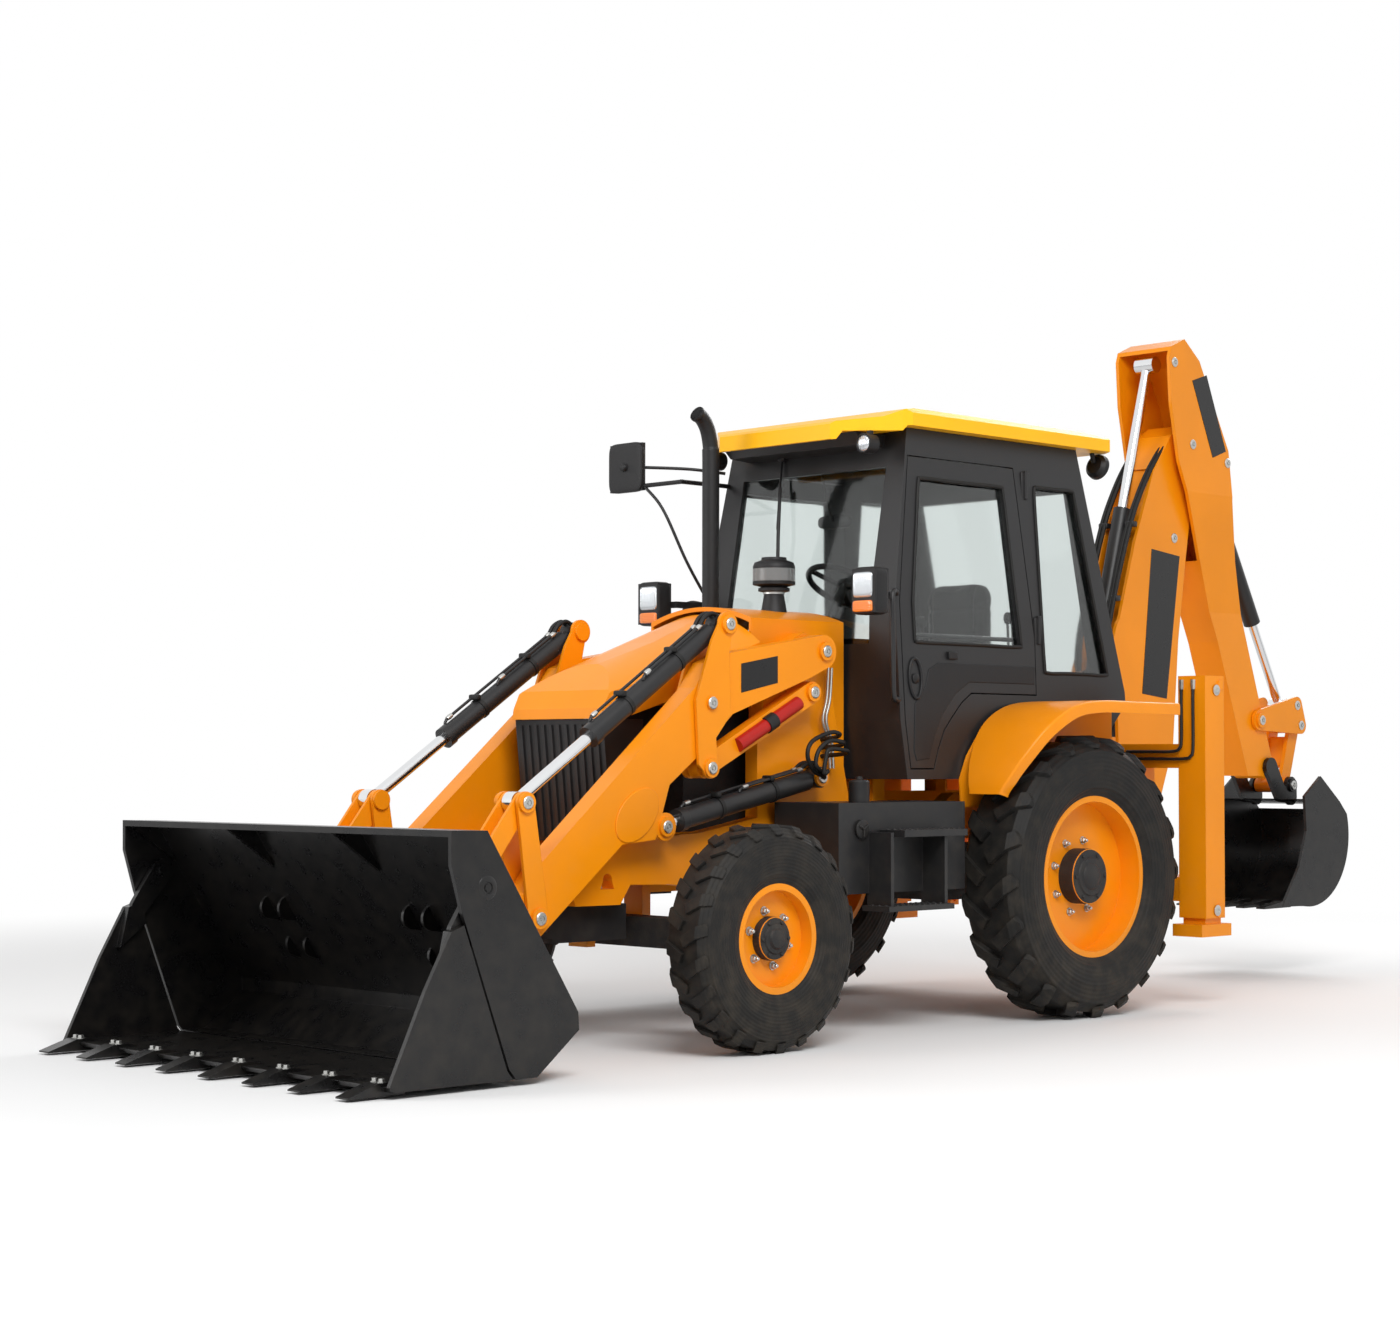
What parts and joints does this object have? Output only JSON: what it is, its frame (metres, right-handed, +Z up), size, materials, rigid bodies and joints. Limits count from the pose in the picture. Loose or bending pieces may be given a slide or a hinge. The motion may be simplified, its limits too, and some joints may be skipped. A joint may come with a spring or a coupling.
{
  "type": "backhoe loader",
  "caption": "Wheeled backhoe loader: clam bucket on a parallel-lift loader in front, glazed cab, side-shift backhoe and vertical stabilisers behind",
  "frame": {"origin": "on the ground, below the middle of the machine's length and width", "axes": "+X forward towards the loader bucket, +Y to the machine's left, +Z up"},
  "size_m": [7.749, 2.235, 3.54],
  "materials": {
    "machine_yellow": "semi-gloss",
    "roof_yellow": "gloss",
    "frame_grey": "semi-matt",
    "bucket_black": "satin",
    "rod_steel": "polished",
    "tyre_rubber": "matt",
    "cab_plastic": "matt",
    "cast_grey": "rough"
  },
  "bodies": {
    "chassis": {"main_frame": "machine_yellow", "front_weight": "frame_grey", "engine": "cast_grey", "front_axle": "cast_grey", "rear_axle": "cast_grey", "side_tanks": "frame_grey", "grille": "frame_grey", "rear_cowl": "machine_yellow", "stacks": "frame_grey", "cab": "frame_grey", "roof": "roof_yellow", "fenders": "machine_yellow", "seat": "cab_plastic", "controls": "cab_plastic", "lamps": "cab_plastic", "hoe_frame": "machine_yellow"},
    "bonnet": {"bonnet": "machine_yellow"},
    "hub_left": {"knuckle_left": "cast_grey"},
    "hub_right": {"knuckle_right": "cast_grey"},
    "wheel_front_left": {"rim_front_left": "machine_yellow", "tyre_front_left": "tyre_rubber"},
    "wheel_front_right": {"rim_front_right": "machine_yellow", "tyre_front_right": "tyre_rubber"},
    "wheel_rear_left": {"rim_rear_left": "machine_yellow", "tyre_rear_left": "tyre_rubber"},
    "wheel_rear_right": {"rim_rear_right": "machine_yellow", "tyre_rear_right": "tyre_rubber"},
    "arms": {"loader_arms": "machine_yellow"},
    "levers": {"levers": "machine_yellow"},
    "level_links": {"level_links": "machine_yellow"},
    "lift_tubes": {"lift_tubes": "frame_grey"},
    "lift_rods": {"lift_rods": "rod_steel"},
    "tilt_tubes": {"tilt_tubes": "frame_grey"},
    "tilt_rods": {"tilt_rods": "rod_steel"},
    "tipping_levers": {"tipping_levers": "machine_yellow"},
    "bucket": {"bucket": "bucket_black"},
    "clam": {"clam": "bucket_black"},
    "tipping_links": {"tipping_links": "machine_yellow"},
    "carriage": {"carriage": "machine_yellow"},
    "kingpost": {"kingpost": "machine_yellow"},
    "boom": {"boom": "machine_yellow"},
    "boom_tube": {"boom_tube": "frame_grey"},
    "boom_rod": {"boom_rod": "rod_steel"},
    "dipper_tube": {"dipper_tube": "frame_grey"},
    "dipper_rod": {"dipper_rod": "rod_steel"},
    "dipper": {"dipper": "machine_yellow"},
    "crowd_tube": {"crowd_tube": "frame_grey"},
    "crowd_rod": {"crowd_rod": "rod_steel"},
    "hoe_levers": {"hoe_levers": "machine_yellow"},
    "hoe_link": {"hoe_link": "machine_yellow"},
    "hoe_bucket": {"hoe_bucket": "bucket_black"},
    "stabiliser_left": {"stabiliser_left": "machine_yellow"},
    "stabiliser_right": {"stabiliser_right": "machine_yellow"},
    "door_left": {"door_left": "frame_grey"},
    "door_right": {"door_right": "frame_grey"}
  },
  "joints": [
    {"name": "steer_left", "type": "hinge", "parent": "chassis", "child": "hub_left", "pos_m": [1.6615, 0.8, 0.476], "axis": [0, 0, 1], "range_deg": [-40, 40]},
    {"name": "roll_front_left", "type": "hinge", "parent": "hub_left", "child": "wheel_front_left", "pos_m": [1.6615, 0.949, 0.476], "axis": [0, 1, 0], "continuous": true},
    {"name": "roll_rear_left", "type": "hinge", "parent": "chassis", "child": "wheel_rear_left", "pos_m": [-0.5085, 0.887, 0.668], "axis": [0, 1, 0], "continuous": true},
    {"name": "steer_right", "type": "hinge", "parent": "chassis", "child": "hub_right", "pos_m": [1.6615, -0.8, 0.476], "axis": [0, 0, 1], "range_deg": [-40, 40]},
    {"name": "roll_front_right", "type": "hinge", "parent": "hub_right", "child": "wheel_front_right", "pos_m": [1.6615, -0.949, 0.476], "axis": [0, 1, 0], "continuous": true},
    {"name": "roll_rear_right", "type": "hinge", "parent": "chassis", "child": "wheel_rear_right", "pos_m": [-0.5085, -0.887, 0.668], "axis": [0, 1, 0], "continuous": true},
    {"name": "lift", "type": "hinge", "parent": "chassis", "child": "arms", "pos_m": [0.8335, 0, 1.709], "axis": [0, -1, 0], "range_deg": [0, 80]},
    {"name": "lever_turn", "type": "hinge", "parent": "arms", "child": "levers", "pos_m": [1.5735, 0, 1.464], "axis": [0, -1, 0], "range_deg": [-54, 1]},
    {"name": "link_turn", "type": "hinge", "parent": "chassis", "child": "level_links", "pos_m": [0.8935, 0, 1.523], "axis": [0, -1, 0], "range_deg": [-1, 82.5]},
    {"name": "lift_tube_turn", "type": "hinge", "parent": "chassis", "child": "lift_tubes", "pos_m": [0.8425, 0, 1.14], "axis": [0, -1, 0], "range_deg": [-1, 69.5]},
    {"name": "lift_rod_out", "type": "slide", "parent": "lift_tubes", "child": "lift_rods", "axis": [0.9787, 0, -0.2055], "range_m": [-0.001, 0.69]},
    {"name": "tilt", "type": "hinge", "parent": "arms", "child": "bucket", "pos_m": [2.8215, 0, 0.4], "axis": [0, 1, 0], "range_deg": [-35, 104]},
    {"name": "tilt_tube_turn", "type": "hinge", "parent": "levers", "child": "tilt_tubes", "pos_m": [1.4695, 0, 1.809], "axis": [0, -1, 0], "range_deg": [-1, 50]},
    {"name": "tilt_rod_out", "type": "slide", "parent": "tilt_tubes", "child": "tilt_rods", "axis": [0.8327, 0, -0.5537], "range_m": [-0.17, 0.5]},
    {"name": "tipping_lever_turn", "type": "hinge", "parent": "arms", "child": "tipping_levers", "pos_m": [2.5485, 0, 0.575], "axis": [0, 1, 0], "range_deg": [-22, 63]},
    {"name": "tipping_link_turn", "type": "hinge", "parent": "bucket", "child": "tipping_links", "pos_m": [2.9755, 0, 0.588], "axis": [0, 1, 0], "range_deg": [-70, 25]},
    {"name": "clam_open", "type": "hinge", "parent": "bucket", "child": "clam", "pos_m": [3.2835, 0, 0.742], "axis": [0, -1, 0], "range_deg": [0, 60]},
    {"name": "bonnet_open", "type": "hinge", "parent": "chassis", "child": "bonnet", "pos_m": [1.1115, 0, 1.885], "axis": [0, -1, 0], "range_deg": [0, 45]},
    {"name": "door_left_open", "type": "hinge", "parent": "chassis", "child": "door_left", "pos_m": [-0.4985, 0.668, 1.5], "axis": [0, 0, 1], "range_deg": [0, 75]},
    {"name": "door_right_open", "type": "hinge", "parent": "chassis", "child": "door_right", "pos_m": [-0.4985, -0.668, 1.5], "axis": [0, 0, -1], "range_deg": [0, 75]},
    {"name": "stabiliser_left_down", "type": "slide", "parent": "chassis", "child": "stabiliser_left", "axis": [0, 0, -1], "range_m": [0, 0.45]},
    {"name": "stabiliser_right_down", "type": "slide", "parent": "chassis", "child": "stabiliser_right", "axis": [0, 0, -1], "range_m": [0, 0.45]},
    {"name": "shift", "type": "slide", "parent": "chassis", "child": "carriage", "axis": [0, 1, 0], "range_m": [-0.5, 0.5]},
    {"name": "slew", "type": "hinge", "parent": "carriage", "child": "kingpost", "pos_m": [-1.8685, 0, 0.9], "axis": [0, 0, 1], "range_deg": [-90, 90]},
    {"name": "boom_down", "type": "hinge", "parent": "kingpost", "child": "boom", "pos_m": [-2.1285, 0, 0.9], "axis": [0, -1, 0], "range_deg": [0, 100]},
    {"name": "boom_tube_turn", "type": "hinge", "parent": "kingpost", "child": "boom_tube", "pos_m": [-1.9685, 0, 1.2], "axis": [0, -1, 0], "range_deg": [-1, 99]},
    {"name": "boom_rod_out", "type": "slide", "parent": "boom_tube", "child": "boom_rod", "axis": [-0.3424, 0, 0.9396], "range_m": [-0.002, 0.522]},
    {"name": "dipper_out", "type": "hinge", "parent": "boom", "child": "dipper", "pos_m": [-2.5115, 0, 2.964], "axis": [0, 1, 0], "range_deg": [0, 100]},
    {"name": "dipper_tube_turn", "type": "hinge", "parent": "boom", "child": "dipper_tube", "pos_m": [-1.8435, 0, 1.66], "axis": [0, 1, 0], "range_deg": [-1, 4]},
    {"name": "dipper_rod_in", "type": "slide", "parent": "dipper_tube", "child": "dipper_rod", "axis": [0.2762, 0, -0.9611], "range_m": [-0.002, 0.723]},
    {"name": "dig", "type": "hinge", "parent": "dipper", "child": "hoe_bucket", "pos_m": [-3.3435, 0, 1.18], "axis": [0, -1, 0], "range_deg": [-85, 25]},
    {"name": "hoe_lever_turn", "type": "hinge", "parent": "dipper", "child": "hoe_levers", "pos_m": [-3.2365, 0, 1.448], "axis": [0, -1, 0], "range_deg": [-47, 15]},
    {"name": "hoe_link_turn", "type": "hinge", "parent": "hoe_levers", "child": "hoe_link", "pos_m": [-3.6565, 0, 1.423], "axis": [0, -1, 0], "range_deg": [-14, 43]},
    {"name": "crowd_tube_turn", "type": "hinge", "parent": "dipper", "child": "crowd_tube", "pos_m": [-2.8415, 0, 2.886], "axis": [0, -1, 0], "range_deg": [-2, 3]},
    {"name": "crowd_rod_out", "type": "slide", "parent": "crowd_tube", "child": "crowd_rod", "axis": [-0.4987, 0, -0.8668], "range_m": [-0.308, 0.098]}
  ],
  "couplings": [
    {"joint": "steer_right", "follows": "steer_left", "ratio": 1},
    {"joint": "lever_turn", "follows": "lift", "ratio": -0.6625},
    {"joint": "link_turn", "follows": "lift", "ratio": 1.0175},
    {"joint": "lift_tube_turn", "follows": "lift", "ratio": 0.85625},
    {"joint": "lift_rod_out", "follows": "lift", "m_per_rad": 0.48988},
    {"joint": "tilt_tube_turn", "follows": "lift", "ratio": 0.6},
    {"joint": "tilt_rod_out", "follows": "tilt", "m_per_rad": 0.2644},
    {"joint": "tipping_lever_turn", "follows": "tilt", "ratio": 0.6},
    {"joint": "tipping_link_turn", "follows": "tilt", "ratio": -0.655},
    {"joint": "boom_tube_turn", "follows": "boom_down", "ratio": 0.97715},
    {"joint": "boom_rod_out", "follows": "boom_down", "m_per_rad": 0.29632},
    {"joint": "dipper_tube_turn", "follows": "dipper_out", "ratio": 0.02059},
    {"joint": "dipper_rod_in", "follows": "dipper_out", "m_per_rad": 0.41128},
    {"joint": "hoe_lever_turn", "follows": "dig", "ratio": 0.53109},
    {"joint": "hoe_link_turn", "follows": "dig", "ratio": -0.48254},
    {"joint": "crowd_tube_turn", "follows": "dig", "ratio": -0.017174},
    {"joint": "crowd_rod_out", "follows": "dig", "m_per_rad": 0.20076}
  ]
}
